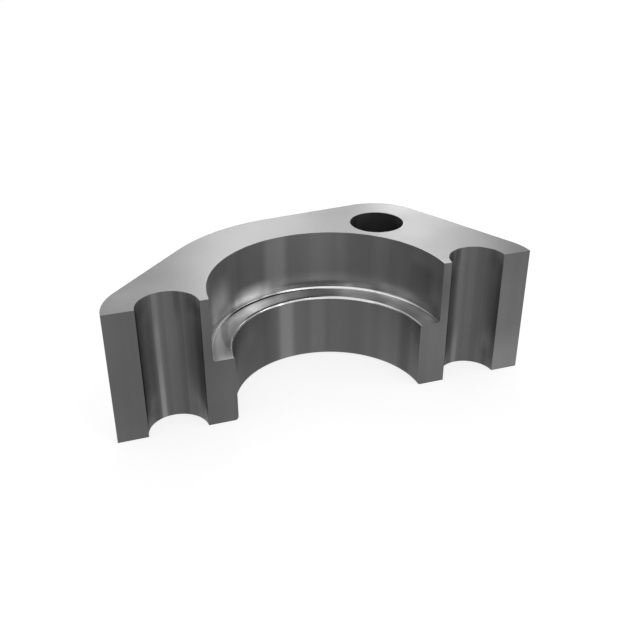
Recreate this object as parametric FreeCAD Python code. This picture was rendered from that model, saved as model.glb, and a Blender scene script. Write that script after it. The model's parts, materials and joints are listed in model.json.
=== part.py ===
# One half of a split flange clamp, which holds the flanged head of a hydraulic tube to a port pad.
# Millimetres, +Z up. The origin is where the bore axis meets the pad face, which faces up.
# X runs along the split faces, from one half bolt hole to the other, and Y points into the metal.

import FreeCAD, Part
import math
import os
from FreeCAD import Vector

# Bolt pattern of the whole clamp, from hole centre to hole centre
bolt_spacing_long = 57.15
bolt_spacing_short = 27.76
bolt_hole_radius = 5.95

# Outline, an arc round each bolt hole and one round the bore, joined by straight tangents
clamp_height = 28.0
lobe_radius = 12.0
body_radius = 35.0

# Stepped bore: the seat takes the tube's flanged head, and the neck lets the tube itself out
seat_radius = 24.05
seat_depth = 13.5
neck_radius = 19.7

# Roundings of the stepped bore
seat_corner_radius = 0.5  # where the seat's wall meets its floor
floor_edge_radius = 0.5  # where the seat's floor drops into the neck
neck_edge_radius = 0.8  # where the neck opens through the outer face

# How far each cutter runs past the faces
cutter_overrun = 2.0

# The clamp is split on a diagonal of its bolt pattern, which cuts two of the four holes in half
bolt_diagonal = math.hypot(bolt_spacing_long, bolt_spacing_short)
right_half_hole = Vector(bolt_diagonal / 2, 0, 0)
left_half_hole = Vector(-bolt_diagonal / 2, 0, 0)
whole_hole = Vector(
    (bolt_spacing_long**2 - bolt_spacing_short**2) / (2 * bolt_diagonal),
    bolt_spacing_long * bolt_spacing_short / bolt_diagonal,
    0,
)
bore_centre = Vector(0, 0, 0)
seat_floor_z = -seat_depth
outer_face_z = -clamp_height


def tangent_points(centre_a, radius_a, centre_b, radius_b):
    """The ends of the line that touches both circles on the right of the way from a to b."""
    way = centre_b - centre_a
    distance = way.Length
    way.normalize()
    right = Vector(way.y, -way.x, 0)
    along = (radius_a - radius_b) / distance
    outward = way * along + right * math.sqrt(1 - along**2)
    return centre_a + outward * radius_a, centre_b + outward * radius_b


def arc_round(centre, radius, start, end):
    """The arc about a centre that turns anticlockwise, seen from above, from start to end."""
    first = math.atan2(start.y - centre.y, start.x - centre.x)
    last = math.atan2(end.y - centre.y, end.x - centre.x)
    if last < first:
        last += 2 * math.pi
    middle = (first + last) / 2
    halfway = centre + Vector(math.cos(middle), math.sin(middle), 0) * radius
    return Part.Arc(start, halfway, end).toShape()


def line(start, end):
    return Part.LineSegment(start, end).toShape()


def make_blank():
    """The plate with its outer walls, before it is bored and drilled."""
    right_end = right_half_hole + Vector(lobe_radius, 0, 0)
    left_end = left_half_hole - Vector(lobe_radius, 0, 0)
    right_a, right_b = tangent_points(right_half_hole, lobe_radius, whole_hole, lobe_radius)
    back_a, back_b = tangent_points(whole_hole, lobe_radius, bore_centre, body_radius)
    left_a, left_b = tangent_points(bore_centre, body_radius, left_half_hole, lobe_radius)
    outline = Part.Wire(
        [
            arc_round(right_half_hole, lobe_radius, right_end, right_a),
            line(right_a, right_b),
            arc_round(whole_hole, lobe_radius, right_b, back_a),
            line(back_a, back_b),
            arc_round(bore_centre, body_radius, back_b, left_a),
            line(left_a, left_b),
            arc_round(left_half_hole, lobe_radius, left_b, left_end),
            line(left_end, right_end),
        ]
    )
    return Part.Face(outline).extrude(Vector(0, 0, outer_face_z))


def quarter_arc(centre_r, centre_z, radius, start_angle, end_angle):
    """A rounding in the bore's section, from one angle to another, and its two end points."""

    def at(angle):
        turn = math.radians(angle)
        return Vector(centre_r + radius * math.cos(turn), 0, centre_z + radius * math.sin(turn))

    start = at(start_angle)
    end = at(end_angle)
    return Part.Arc(start, at((start_angle + end_angle) / 2), end).toShape(), start, end


def make_bore_cutter():
    """The stepped bore, turned from its section: seat wall, floor, neck wall and their roundings."""
    top_z = cutter_overrun
    bottom_z = outer_face_z - cutter_overrun
    corner, corner_a, corner_b = quarter_arc(
        seat_radius - seat_corner_radius, seat_floor_z + seat_corner_radius, seat_corner_radius, 0, -90
    )
    edge, edge_a, edge_b = quarter_arc(
        neck_radius + floor_edge_radius, seat_floor_z - floor_edge_radius, floor_edge_radius, 90, 180
    )
    mouth, mouth_a, mouth_b = quarter_arc(
        neck_radius + neck_edge_radius, outer_face_z + neck_edge_radius, neck_edge_radius, 180, 270
    )
    axis_top = Vector(0, 0, top_z)
    axis_bottom = Vector(0, 0, bottom_z)
    seat_top = Vector(seat_radius, 0, top_z)
    mouth_bottom = Vector(mouth_b.x, 0, bottom_z)
    section = Part.Wire(
        [
            line(axis_top, seat_top),
            line(seat_top, corner_a),
            corner,
            line(corner_b, edge_a),
            edge,
            line(edge_b, mouth_a),
            mouth,
            line(mouth_b, mouth_bottom),
            line(mouth_bottom, axis_bottom),
            line(axis_bottom, axis_top),
        ]
    )
    return Part.Face(section).revolve(bore_centre, Vector(0, 0, 1), 360)


def make_hole_cutter(centre):
    """A bolt's clearance hole, right through the clamp."""
    depth = clamp_height + 2 * cutter_overrun
    foot = centre + Vector(0, 0, outer_face_z - cutter_overrun)
    return Part.makeCylinder(bolt_hole_radius, depth, foot, Vector(0, 0, 1))


cutters = [make_bore_cutter()]
for centre in (left_half_hole, right_half_hole, whole_hole):
    cutters.append(make_hole_cutter(centre))
clamp_half = make_blank().cut(cutters)

os.makedirs("parts", exist_ok=True)
clamp_half.Solids[0].exportStep("parts/clamp_half.step")
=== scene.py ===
import json
import math

import bpy
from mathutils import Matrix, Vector


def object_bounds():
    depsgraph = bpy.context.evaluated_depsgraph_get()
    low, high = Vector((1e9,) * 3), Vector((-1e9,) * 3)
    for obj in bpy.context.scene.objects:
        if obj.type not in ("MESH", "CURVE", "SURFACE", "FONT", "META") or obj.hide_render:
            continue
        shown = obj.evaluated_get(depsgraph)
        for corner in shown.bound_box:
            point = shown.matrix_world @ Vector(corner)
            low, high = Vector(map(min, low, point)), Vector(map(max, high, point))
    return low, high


# Metres. The frame's origin is where the bore's axis meets the pad face, which faces up.
MM = 0.001  # the record's sizes are in millimetres
UP = (0, 0, 1)
BACKWARD = (0, 1, 0)
LEVEL_PART = (1, 1, 0)  # times a vector, it leaves the vector's level part
BORE_AXIS = (0, 0, 0)

# The camera, where the photo was taken from
CAMERA_PLACE = (-0.04949, -0.13641, 0.07041)
CAMERA_TURN = (61.42, 0.0, -19.05)  # degrees about X, Y and Z
CAMERA_LENS = 47.07  # millimetres, on a sensor 36 mm wide
CLIP_START = 0.005  # well short of the clamp

# Floor and world. Both are brighter to the camera and in reflections than as diffuse light.
FLOOR_SIZE = 6.0
FLOOR_PAINT = 0.3
FLOOR_GLOW = 0.79  # with the lit paint, it makes the floor white to the camera
WORLD_TONE = 0.8
WORLD_FILL = 0.8  # the world's strength as diffuse light, where it is otherwise 1

# Softboxes, which all stand at one distance and face the clamp: the azimuth, which is 0 behind the
# clamp, along +Y, and 90 at its right, and the elevation, both in degrees, then the width and the
# height in metres, and the radiance
SOFTBOX_DISTANCE = 0.6
SOFTBOXES = (
    ("back_softbox", 15, 40, 0.12, 0.165, 7.8),
    ("low_back_softbox", 29, 27, 0.08, 0.165, 7.0),
    ("key_softbox", 112, 27, 0.105, 0.165, 5.0),
    ("side_softbox", 64, 27, 0.105, 0.165, 2.0),
    ("strip_softbox", 138, 8, 0.05, 0.20, 6.0),
    ("front_softbox", 158, 8, 0.12, 0.165, 2.5),
    ("overhead_softbox", 150, 60, 0.165, 0.165, 2.5),
    ("rear_softbox", 312, 14, 0.10, 0.165, 3.0),
)

# The steel's finishes: the kind of face, its tone, from 0 to 1 in linear light, and its roughness.
# Where two kinds overlap, the later one shows. What none of them covers is the sawn split.
SAWN_SPLIT = (0.146, 0.50)
FINISHES = (
    ("side", 0.16, 0.42),  # the outer side, round the lobes: milled
    ("seat", 0.18, 0.52),  # turned
    ("painted_reflection_band", 0.22, 0.25),  # painted reflection: the seat's wall just above its ledge, lighter and glossier
    ("neck", 0.145, 0.50),  # turned
    ("hole", 0.155, 0.55),  # drilled
    ("whole_hole", 0.06, 0.55),  # painted shade: darker than the half holes, deep in the through hole
    ("edge", 0.85, 0.20),  # the roundings on both sides of the ledge: burnished, with a lighter tone that is partly painted highlight
    ("level", 0.272, 0.40),  # the pad face and the underside: ground, with a tone lighter than the walls' that is partly painted highlight
    ("ledge", 0.70, 0.33),  # turned, with a tone far lighter than the walls' that is painted reflection
    ("shaded_rim", 0.45, 0.40),  # painted shade: the ledge's outer rim, darker beside the seat's wall
    ("crease_shade", 0.10, 0.40),  # painted shade: a fine dark line between each rounding and the ledge
)
ANISOTROPY = 0.8
PAINTED_BAND_HEIGHT = 0.0045  # where the band of painted reflection has faded out, above the seat's lower end
SHADED_RIM_WIDTH = 0.0022  # where the ledge's rim of painted shade has faded out, inward from the seat's wall
CREASE_SHADE_PLACE = 105  # the middle of the stretch of painted shade, in degrees round the bore
CREASE_SHADE_HALF_WIDTH = (22, 38)  # degrees from its middle, to where it starts to fade and where it ends
CLEAN_LEDGE = 0.0016  # half the ledge's width between its two lines of painted shade

# How far the finishes vary: features per metre, and the change as a share of the tone
CLOUD_SCALE = 45.0
CLOUD_DEPTH = 0.08
CLOUD_DETAIL = 3.0
MOTTLE_SCALE = 260.0
MOTTLE_DEPTH = 0.04
STREAK_SCALE = 220.0
STREAK_DEPTH = 0.09
SIDE_STREAK_DEPTH = 0.16  # what the outer side has on top of that
STREAK_STRETCH = 0.03  # how fast a streak changes along the bore, beside how fast it does across
FINE_DETAIL = 2.0  # for everything but the clouds
UNEVEN_GLOSS = 0.02  # how far the roughness varies
SPOT_WOBBLE = 0.25  # how uneven a painted spot's outline is, as a share of its reach
PLATEAU = 0.35  # the share of a mark's half width or reach that has the mark's full strength
LEDGE_SWEEP = 8.0  # how far the swept stripe of painted shade on the ledge turns, in degrees for each mm outward

# The tool marks' grooves: features per metre, and their depth in metres
GROOVE_SCALE = 900.0
GROOVE_DEPTH = 0.000002

# Blender's noise mostly stays within 0.25 of its mean. The gain spreads that from -1 to 1.
NOISE_MEAN = 0.5
NOISE_GAIN = 4.0

# Stripes on the bores, on the ledge and on its roundings, painted reflections and highlights where they
# lift the tone and painted shade where they lower it: the face, the stripe's place round it, from +X
# towards +Y, and half its width, both in degrees, and the share by which it lifts the tone
PAINTED_STRIPES = (
    ("half_bolt_hole_left", 107.5, 7.5, 0.50),
    ("half_bolt_hole_left", 94, 6, -0.12),
    ("half_bolt_hole_left", 148, 30, 1.05),
    ("half_bolt_hole_left", 23, 30, 1.25),
    ("half_bolt_hole_left", 12, 9, 0.30),
    ("half_bolt_hole_left", 51, 9, 0.28),
    ("half_bolt_hole_left", 63, 9, -0.12),
    ("half_bolt_hole_left", 165, 12, -0.60),
    ("half_bolt_hole_right", 82, 8, -0.12),
    ("half_bolt_hole_right", 96, 6, 0.10),
    ("half_bolt_hole_right", 116, 5, 0.30),
    ("half_bolt_hole_right", 12, 30, 1.30),
    ("half_bolt_hole_right", 54, 12, -0.15),
    ("half_bolt_hole_right", 27, 9, -0.15),
    ("flange_seat", 101, 9, 0.45),
    ("flange_seat", 33, 10, -0.12),
    ("flange_seat", 55, 11, -0.20),
    ("flange_seat", 76, 8, 0.10),
    ("flange_seat", 130, 5, 0.12),
    ("tube_neck", 100.5, 7, 0.55),
    ("tube_neck", 79, 7, 0.18),
    ("tube_neck", 29, 11, 0.38),
    ("tube_neck", 42, 8, 0.10),
    ("tube_neck", 6, 8, 0.30),
    ("tube_neck", 114, 8, -0.16),
    ("ledge", 118, 12, 0.14),
    ("ledge", 92, 10, -0.22),
    ("ledge", 76, 15, -0.56),
    ("ledge", 39, 6, -0.15),
    ("ledge", 20, 12, -0.20),
    ("ledge", 3, 9, 0.22),
    ("ledge", 127, 5, -0.14),
    ("ledge", 165, 22, -0.22),
    ("swept_ledge", 153, 9, -0.35),
    ("seat_edge", 8, 30, -0.66),
    ("seat_edge", 116, 34, -0.84),
    ("low_edge", 8, 34, -0.60),
    ("low_edge", 96, 12, -0.45),
)

# Patches of painted reflection, where they lift the tone, and painted shade, where they lower it, which
# fade out up and down a bore's wall as well, or inward and outward on the ledge: the face, the patch's
# place and half width in degrees, its height, or its distance from the axis on the ledge, how far it
# reaches from there, both in metres, and its share
PAINTED_PATCHES = (
    ("flange_seat", 117, 15, -0.0135, 0.0050, 1.80),
    ("flange_seat", 117, 9, -0.0110, 0.0022, 0.22),
    ("flange_seat", 131, 7, -0.0135, 0.0036, 0.75),
    ("flange_seat", 103, 8, -0.0135, 0.0028, 0.35),
    ("flange_seat", 144.5, 15, -0.0135, 0.0114, 1.45),
    ("flange_seat", 154, 10, -0.0125, 0.0030, 0.35),
    ("flange_seat", 84, 20, -0.0135, 0.0018, 1.05),
    ("flange_seat", 66, 9, -0.0135, 0.0018, 1.10),
    ("flange_seat", 55, 10, -0.0135, 0.0022, 0.90),
    ("flange_seat", 32, 15, -0.0135, 0.0036, 1.10),
    ("flange_seat", 15, 10, -0.0135, 0.0028, 0.65),
    ("flange_seat", 18, 12, -0.0070, 0.0050, -0.25),
    ("tube_neck", 141, 20, -0.0145, 0.0080, 0.55),
    ("tube_neck", 150, 20, -0.028, 0.0070, -0.20),
    ("half_bolt_hole_left", 107.5, 7.5, -0.028, 0.0150, 0.22),
    ("half_bolt_hole_left", 109, 9, 0.0, 0.0100, -0.20),
    ("half_bolt_hole_left", 25, 36, 0.0, 0.0055, -0.40),
    ("half_bolt_hole_left", 66, 8, 0.0, 0.0070, -0.22),
    ("half_bolt_hole_left", 150, 36, 0.0, 0.0055, -0.45),
    ("half_bolt_hole_left", 25, 36, -0.028, 0.0050, -0.28),
    ("half_bolt_hole_left", 145, 36, -0.028, 0.0055, -0.38),
    ("half_bolt_hole_right", 14, 30, 0.0, 0.0055, -0.35),
    ("half_bolt_hole_right", 104, 10, 0.0, 0.0050, -0.30),
    ("half_bolt_hole_right", 14, 32, -0.028, 0.0075, -0.60),
    ("half_bolt_hole_right", 96, 9, -0.028, 0.0110, 0.30),
    ("ledge", 37, 8, 0.0236, 0.0012, 0.40),
    ("ledge", 52, 8, 0.0202, 0.0018, 0.25),
    ("ledge", 84, 18, 0.0236, 0.0022, -0.20),
    ("ledge", 138, 6, 0.0236, 0.0024, 0.22),
    ("ledge", 160, 24, 0.0236, 0.0016, 0.30),
    ("ledge", 29, 9, 0.0202, 0.0014, 0.30),
    ("ledge", 122, 9, 0.0202, 0.0014, 0.25),
    ("ledge", 170, 14, 0.0202, 0.0018, -0.33),
)

# Spots of painted reflection and painted shade on the flat faces: the face, the middle and reach in
# metres, and the spot's share
PAINTED_SPOTS = (
    ("level", (-0.040, 0.005, 0.0), 0.014, 0.30),
    ("level", (0.027, 0.033, 0.0), 0.009, 0.25),
    ("level", (0.028, 0.009, 0.0), 0.013, -0.13),
    ("level", (0.043, 0.001, 0.0), 0.010, -0.20),
    ("upright", (-0.0235, 0.0, -0.012), 0.010, -0.14),
    ("upright", (0.025, 0.0, -0.006), 0.010, -0.24),
    ("upright", (0.040, 0.0, -0.001), 0.008, -0.14),
    ("upright", (0.041, 0.0, -0.027), 0.012, 0.45),
)

# Where one kind of face ends and the next begins, by how far its normal points up or down
LEVEL_FACE = 0.99
CREASE_SHADE_START = 0.73
LOW_EDGE = 0.84
UPRIGHT_FACE = 0.06
WALL_REACH = 0.0002  # how near a face lies to a bore's radius to be its wall
WALL_FACING = 0.5  # the least share of a wall's normal that points to the bore's axis
SIDE_FACING = 0.3  # the least share of the outer side's normal that points away from it
INNER_SHARE = 0.3  # of the thickness: how far from mid-height the ledge and its roundings may lie
ROUNDING = 0.0005  # the radius of the rounding on each side of the ledge

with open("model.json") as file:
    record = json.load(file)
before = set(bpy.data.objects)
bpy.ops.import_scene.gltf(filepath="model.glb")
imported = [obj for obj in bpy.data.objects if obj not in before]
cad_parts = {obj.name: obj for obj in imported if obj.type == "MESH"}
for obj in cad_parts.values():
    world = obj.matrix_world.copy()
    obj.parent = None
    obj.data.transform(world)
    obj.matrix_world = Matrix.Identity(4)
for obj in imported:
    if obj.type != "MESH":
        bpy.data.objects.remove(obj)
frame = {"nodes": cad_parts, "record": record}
cad_low, cad_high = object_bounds()
scene = bpy.context.scene
clamp_half = frame["nodes"]["clamp_half"]
mounts = {mount["name"]: mount for mount in frame["record"]["mounts"]}
hole_names = ("bolt_hole", "half_bolt_hole_left", "half_bolt_hole_right")
bore_names = ("flange_seat", "tube_neck") + hole_names
seat_radius = mounts["flange_seat"]["dims"]["r_mm"] * MM
neck_radius = mounts["tube_neck"]["dims"]["r_mm"] * MM
seat_low_end = -mounts["flange_seat"]["dims"]["length_mm"] * MM
ledge_height = seat_low_end - ROUNDING
mid_ledge = (seat_radius + neck_radius) / 2


class Nodes:
    """Adds nodes to one tree. Where a value is asked for, another node's output serves too."""

    def __init__(self, tree):
        self.tree = tree
        tree.nodes.clear()

    def add(self, kind, **settings):
        made = self.tree.nodes.new(kind)
        for name, value in settings.items():
            setattr(made, name, value)
        return made

    def feed(self, socket, value):
        if isinstance(value, bpy.types.NodeSocket):
            self.tree.links.new(value, socket)
        else:
            socket.default_value = value

    def result(self, kind, *values, **settings):
        """The first output of a new node. The values go to those of its inputs that are in use."""
        made = self.add(kind, **settings)
        inputs = [socket for socket in made.inputs if socket.enabled]
        for socket, value in zip(inputs, values):
            self.feed(socket, value)
        return next(socket for socket in made.outputs if socket.enabled)

    def math(self, operation, *values):
        return self.result("ShaderNodeMath", *values, operation=operation)

    def vector(self, operation, *values):
        return self.result("ShaderNodeVectorMath", *values, operation=operation)

    def add_fed(self, kind, values, **settings):
        """A new node, with the values of some inputs by name."""
        made = self.add(kind, **settings)
        for name, value in values.items():
            self.feed(made.inputs[name], value)
        return made

    def parts(self, vector):
        return self.add_fed("ShaderNodeSeparateXYZ", {"Vector": vector}).outputs

    def mix(self, share, first, second, kind="FLOAT"):
        """Between first, at a share of 0, and second, at a share of 1."""
        return self.result("ShaderNodeMix", share, first, second, data_type=kind)

    def product(self, first, *others):
        for other in others:
            first = self.math("MULTIPLY", first, other)
        return first

    def outside(self, mask):
        return self.math("SUBTRACT", 1.0, mask)

    def off(self, value, middle):
        """How far a value lies from a middle."""
        return self.math("ABSOLUTE", self.math("SUBTRACT", value, middle))

    def fade(self, value, start, end):
        """1 up to the start, 0 from the end on, and smooth between them."""
        span = {"Value": value, "From Min": start, "From Max": end, "To Min": 1.0, "To Max": 0.0}
        made = self.add_fed("ShaderNodeMapRange", span, interpolation_type="SMOOTHSTEP")
        return made.outputs["Result"]

    def noise(self, place, scale, detail=FINE_DETAIL):
        """Soft noise that mostly stays between -1 and 1, about a mean of 0."""
        made = self.add_fed("ShaderNodeTexNoise", {"Vector": place, "Scale": scale, "Detail": detail})
        return self.math("MULTIPLY_ADD", made.outputs["Fac"], NOISE_GAIN, -NOISE_GAIN * NOISE_MEAN)


def new_material(name):
    made = bpy.data.materials.new(name)
    made.use_nodes = True
    return made


def grey(tone):
    return (tone, tone, tone, 1)


def seen_directly(nodes):
    """1 for rays from the camera and for reflected or refracted ones, and 0 for diffuse light."""
    path = nodes.add("ShaderNodeLightPath")
    glossy = nodes.math("MAXIMUM", path.outputs["Is Camera Ray"], path.outputs["Is Glossy Ray"])
    return nodes.math("MAXIMUM", glossy, path.outputs["Is Transmission Ray"])


def level_offset(nodes, place, centre):
    """From the upright axis through the centre to the place, straight outward."""
    return nodes.vector("MULTIPLY", nodes.vector("SUBTRACT", place, centre), LEVEL_PART)


def round_off(nodes, surface, mesh_normal):
    """The mesh's normal, but that of a true arc on the ledge's inner rounding.

    The mesh's triangles there are long and uneven, and its own normals make a bright line jagged.
    """
    arc_radius = neck_radius + ROUNDING
    arc_height = ledge_height - ROUNDING
    centre = nodes.vector("SCALE", surface.outward, arc_radius)
    centre = nodes.vector("ADD", centre, (0, 0, arc_height))
    exact = nodes.vector("NORMALIZE", nodes.vector("SUBTRACT", surface.place, centre))
    on_rounding = nodes.product(
        nodes.math("LESS_THAN", surface.off_axis, arc_radius),
        nodes.math("GREATER_THAN", surface.height, arc_height),
        nodes.math("GREATER_THAN", nodes.parts(mesh_normal)[2], UPRIGHT_FACE),
    )
    return nodes.mix(on_rounding, mesh_normal, exact, "VECTOR")


class Surface:
    """Where a point of the steel lies and how it faces, as outputs of nodes."""

    def __init__(self, nodes):
        self.place = nodes.add("ShaderNodeTexCoord").outputs["Object"]
        self.height = nodes.parts(self.place)[2]
        offset = level_offset(nodes, self.place, BORE_AXIS)
        self.outward = nodes.vector("NORMALIZE", offset)
        self.off_axis = nodes.vector("LENGTH", offset)
        mesh_normal = nodes.add("ShaderNodeNewGeometry").outputs["Normal"]
        self.normal = round_off(nodes, self, mesh_normal)
        self.steepness = nodes.math("ABSOLUTE", nodes.parts(self.normal)[2])


def bore_wall(nodes, surface, mount):
    """1 on the wall of a bore and 0 elsewhere, and the angle round the bore."""
    centre = (mount["pos_m"][0], mount["pos_m"][1], 0)
    offset = level_offset(nodes, surface.place, centre)
    outward = nodes.vector("NORMALIZE", offset)
    facing = nodes.math("ABSOLUTE", nodes.vector("DOT_PRODUCT", outward, surface.normal))
    radius = mount["dims"]["r_mm"] * MM
    at_radius = nodes.math("COMPARE", nodes.vector("LENGTH", offset), radius, WALL_REACH)
    wall = nodes.product(at_radius, nodes.math("GREATER_THAN", facing, WALL_FACING))
    right, back, _ = nodes.parts(offset)
    return wall, nodes.math("ARCTAN2", back, right)


def face_masks(nodes, surface, walls):
    """Which kind of face a point lies on: each mask is 1 there and 0 elsewhere."""
    seat, turn = walls["flange_seat"]
    hole = 0.0
    for name in hole_names:
        hole = nodes.math("MAXIMUM", hole, walls[name][0])
    mid_height = (cad_low.z + cad_high.z) / 2
    inner_reach = INNER_SHARE * (cad_high.z - cad_low.z)
    inside = nodes.math("COMPARE", surface.height, mid_height, inner_reach)
    level = nodes.math("GREATER_THAN", surface.steepness, LEVEL_FACE)
    slope = nodes.math("GREATER_THAN", surface.steepness, UPRIGHT_FACE)
    edge = nodes.product(slope, inside)
    ledge = nodes.product(level, inside)
    at_seat = nodes.math("GREATER_THAN", surface.off_axis, mid_ledge)

    # The seat's band of painted reflection, just above its ledge
    low_band = nodes.fade(surface.height, seat_low_end, seat_low_end + PAINTED_BAND_HEIGHT)
    # The ledge's rim of painted shade, beside the seat's wall
    shaded_rim = nodes.fade(surface.off_axis, seat_radius, seat_radius - SHADED_RIM_WIDTH)
    # Fine lines of painted shade where each rounding meets the ledge, over a stretch round the bore
    fade_start, fade_end = CREASE_SHADE_HALF_WIDTH
    off_crease_shade = nodes.off(turn, math.radians(CREASE_SHADE_PLACE))
    crease_shade = nodes.product(
        nodes.math("GREATER_THAN", surface.steepness, CREASE_SHADE_START),
        inside,
        nodes.math("GREATER_THAN", nodes.off(surface.off_axis, mid_ledge), CLEAN_LEDGE),
        nodes.fade(off_crease_shade, math.radians(fade_start), math.radians(fade_end)),
    )
    facing_out = nodes.vector("DOT_PRODUCT", surface.outward, surface.normal)
    side = nodes.product(
        nodes.math("GREATER_THAN", facing_out, SIDE_FACING),
        nodes.outside(nodes.math("MAXIMUM", slope, hole)),
    )
    low_edge = nodes.product(
        edge,
        nodes.math("LESS_THAN", surface.steepness, LOW_EDGE),
        nodes.outside(at_seat),
    )
    return {
        "seat": seat,
        "painted_reflection_band": nodes.product(seat, low_band),
        "neck": walls["tube_neck"][0],
        "hole": hole,
        "whole_hole": walls["bolt_hole"][0],
        "side": side,
        "slope": slope,
        "upright": nodes.outside(slope),
        "edge": edge,
        "seat_edge": nodes.product(nodes.math("SUBTRACT", edge, ledge), at_seat),
        "low_edge": low_edge,
        "crease_shade": crease_shade,
        "level": level,
        "ledge": ledge,
        "shaded_rim": nodes.product(ledge, shaded_rim),
    }


def mixed_finish(nodes, masks):
    """The tone and the roughness of the kind of face that a point lies on."""
    tone, roughness = SAWN_SPLIT
    for name, next_tone, next_roughness in FINISHES:
        tone = nodes.mix(masks[name], tone, next_tone)
        roughness = nodes.mix(masks[name], roughness, next_roughness)
    return tone, roughness


def arc_mark(nodes, face, angle, half_width):
    """A face's mask, faded out on both sides of an angle round it. Both are in degrees."""
    mask, turn = face
    reach = math.radians(half_width)
    return nodes.product(mask, nodes.fade(nodes.off(turn, math.radians(angle)), PLATEAU * reach, reach))


def painted_light_and_shade(nodes, surface, masks, walls, clouds):
    """What the stripes, patches and spots of painted reflection and shade multiply the tone by."""
    turn = walls["flange_seat"][1]
    past_middle = nodes.math("SUBTRACT", surface.off_axis, mid_ledge)
    swept = nodes.math("MULTIPLY_ADD", past_middle, math.radians(LEDGE_SWEEP) / MM, turn)
    faces = dict(walls)
    for name in ("ledge", "seat_edge", "low_edge"):
        faces[name] = (masks[name], turn)
    faces["swept_ledge"] = (masks["ledge"], swept)

    marks = []
    for name, angle, half_width, gain in PAINTED_STRIPES:
        marks.append((arc_mark(nodes, faces[name], angle, half_width), gain))
    for name, angle, half_width, middle, reach, gain in PAINTED_PATCHES:
        across = surface.off_axis if name == "ledge" else surface.height
        band = nodes.fade(nodes.off(across, middle), PLATEAU * reach, reach)
        marks.append((nodes.product(arc_mark(nodes, faces[name], angle, half_width), band), gain))
    wobble = nodes.math("MULTIPLY_ADD", clouds, SPOT_WOBBLE, 1.0)
    for name, middle, reach, gain in PAINTED_SPOTS:
        distance = nodes.product(nodes.vector("DISTANCE", surface.place, middle), wobble)
        marks.append((nodes.product(masks[name], nodes.fade(distance, 0.0, reach)), gain))

    total = 1.0
    for mark, gain in marks:
        total = nodes.product(total, nodes.math("MULTIPLY_ADD", mark, gain, 1.0))
    return total


def highlight_direction(nodes, surface, masks):
    """The way highlights stretch, across the tool marks.

    That is upward on the walls, but round the bore on the seat's wall. On level faces it is
    backward, but outward on the ledge.
    """
    around = nodes.vector("CROSS_PRODUCT", surface.normal, UP)
    on_walls = nodes.mix(masks["seat"], UP, around, "VECTOR")
    on_levels = nodes.mix(masks["ledge"], BACKWARD, surface.outward, "VECTOR")
    return nodes.mix(masks["level"], on_walls, on_levels, "VECTOR")


def make_steel():
    """Machined steel. Each kind of face has its own tone, gloss and direction of tool marks."""
    steel = new_material("machined_steel")
    nodes = Nodes(steel.node_tree)
    surface = Surface(nodes)
    walls = {name: bore_wall(nodes, surface, mounts[name]) for name in bore_names}
    masks = face_masks(nodes, surface, walls)
    tone, roughness = mixed_finish(nodes, masks)
    stretch = highlight_direction(nodes, surface, masks)

    clouds = nodes.noise(surface.place, CLOUD_SCALE, CLOUD_DETAIL)
    mottle = nodes.noise(surface.place, MOTTLE_SCALE)
    streaks = nodes.noise(nodes.vector("MULTIPLY", surface.place, (1, 1, STREAK_STRETCH)), STREAK_SCALE)
    variations = (
        (clouds, CLOUD_DEPTH),
        (mottle, MOTTLE_DEPTH),
        (nodes.product(streaks, masks["upright"]), STREAK_DEPTH),
        (nodes.product(streaks, masks["side"]), SIDE_STREAK_DEPTH),
    )
    change = 1.0
    for variation, depth in variations:
        change = nodes.math("MULTIPLY_ADD", variation, depth, change)
    # The tone takes on the painted reflections, highlights and shade here
    tone = nodes.product(tone, change, painted_light_and_shade(nodes, surface, masks, walls, clouds))
    tone = nodes.math("MINIMUM", tone, 1.0)

    grooves = nodes.noise(nodes.vector("DOT_PRODUCT", surface.place, stretch), GROOVE_SCALE)
    relief = {"Distance": GROOVE_DEPTH, "Height": grooves, "Normal": surface.normal}
    bump = nodes.add_fed("ShaderNodeBump", relief)

    shader = nodes.add("ShaderNodeBsdfPrincipled")
    shader.inputs["Metallic"].default_value = 1.0
    shader.inputs["Anisotropic"].default_value = ANISOTROPY
    nodes.feed(shader.inputs["Base Color"], nodes.result("ShaderNodeCombineColor", tone, tone, tone))
    nodes.feed(shader.inputs["Roughness"], nodes.math("MULTIPLY_ADD", mottle, UNEVEN_GLOSS, roughness))
    nodes.feed(shader.inputs["Normal"], bump.outputs["Normal"])
    nodes.feed(shader.inputs["Tangent"], stretch)
    nodes.add_fed("ShaderNodeOutputMaterial", {"Surface": shader.outputs[0]})
    return steel


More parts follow.
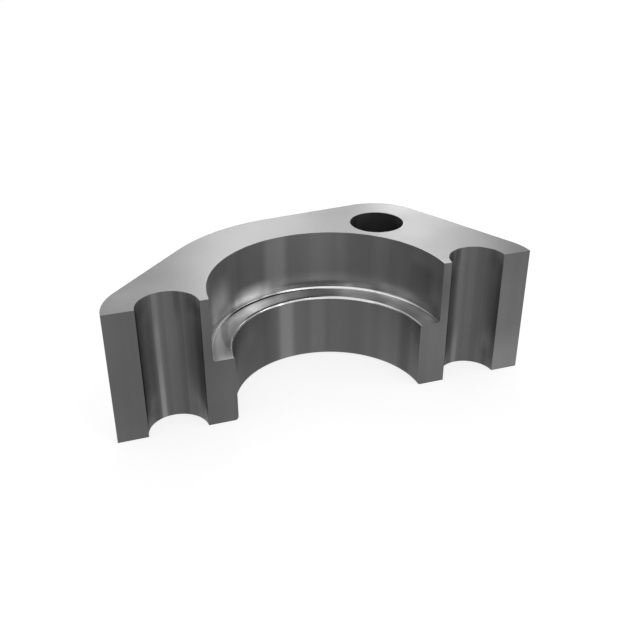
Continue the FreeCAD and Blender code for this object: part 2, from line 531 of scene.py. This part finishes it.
def make_floor_material():
    """Pale paint that keeps a shadow, with a glow that makes it white to the camera."""
    floor_material = new_material("white_floor")
    nodes = Nodes(floor_material.node_tree)
    paint = nodes.result("ShaderNodeBsdfDiffuse", grey(FLOOR_PAINT))
    strength = nodes.product(seen_directly(nodes), FLOOR_GLOW)
    glow = nodes.result("ShaderNodeEmission", grey(1), strength)
    both = nodes.result("ShaderNodeAddShader", paint, glow)
    nodes.add_fed("ShaderNodeOutputMaterial", {"Surface": both})
    return floor_material


def make_world():
    """Pale grey, at full strength to the camera and in reflections and dimmer as diffuse light."""
    world = bpy.data.worlds.new("studio")
    world.use_nodes = True
    nodes = Nodes(world.node_tree)
    strength = nodes.math("MULTIPLY_ADD", seen_directly(nodes), 1.0 - WORLD_FILL, WORLD_FILL)
    sky = nodes.result("ShaderNodeBackground", grey(WORLD_TONE), strength)
    nodes.add_fed("ShaderNodeOutputWorld", {"Surface": sky})
    scene.world = world


def softbox(name, azimuth, elevation, width, height, radiance):
    """An area lamp that faces the clamp and isn't seen by the camera."""
    turn = math.radians(azimuth)
    rise = math.radians(elevation)
    way = Vector((math.sin(turn) * math.cos(rise), math.cos(turn) * math.cos(rise), math.sin(rise)))
    lamp = bpy.data.lights.new(name, "AREA")
    lamp.shape = "RECTANGLE"
    lamp.size = width
    lamp.size_y = height
    lamp.energy = radiance * math.pi * width * height
    stand = bpy.data.objects.new(name, lamp)
    scene.collection.objects.link(stand)
    stand.location = way * SOFTBOX_DISTANCE
    stand.rotation_euler = way.to_track_quat("Z", "Y").to_euler()
    stand.visible_camera = False


def make_camera():
    camera = bpy.data.objects.new("camera", bpy.data.cameras.new("camera"))
    scene.collection.objects.link(camera)
    camera.location = CAMERA_PLACE
    camera.rotation_euler = [math.radians(turn) for turn in CAMERA_TURN]
    camera.data.lens = CAMERA_LENS
    camera.data.clip_start = CLIP_START
    scene.camera = camera


make_camera()
make_world()
bpy.ops.mesh.primitive_plane_add(size=FLOOR_SIZE, location=(0, 0, cad_low.z))
floor = bpy.context.object
floor.name = "floor"
floor.data.materials.append(make_floor_material())

for settings in SOFTBOXES:
    softbox(*settings)

clamp_half.material_slots[0].material = make_steel()

scene.view_settings.view_transform = "Standard"
